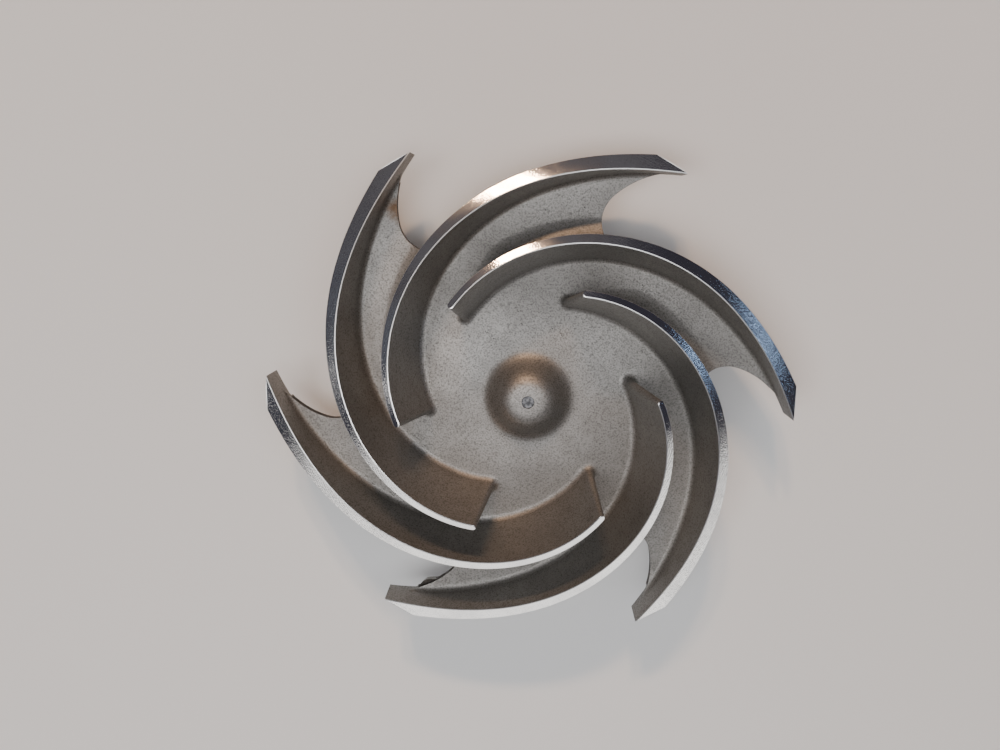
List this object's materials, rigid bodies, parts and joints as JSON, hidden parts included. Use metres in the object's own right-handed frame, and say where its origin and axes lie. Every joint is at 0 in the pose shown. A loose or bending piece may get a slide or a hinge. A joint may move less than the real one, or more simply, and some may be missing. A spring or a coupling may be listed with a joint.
{
  "type": "open pump impeller",
  "caption": "Open pump impeller cast in one piece: backward-curved vanes on a scalloped shroud, domed nose, rear hub with a blind shaft bore and pump-out ribs.",
  "frame": {"origin": "on the shaft axis, in the plane of the hub's rear face", "axes": "+Z along the shaft axis towards the suction side; seen from +Z the impeller turns counter-clockwise; +X and +Y as right and up in the picture"},
  "size_m": [0.254, 0.2292, 0.0747],
  "materials": {
    "cast_steel": "satin blasted casting with bright machined vane fronts"
  },
  "bodies": {
    "root": {"impeller_casting": "cast_steel"}
  },
  "joints": []
}
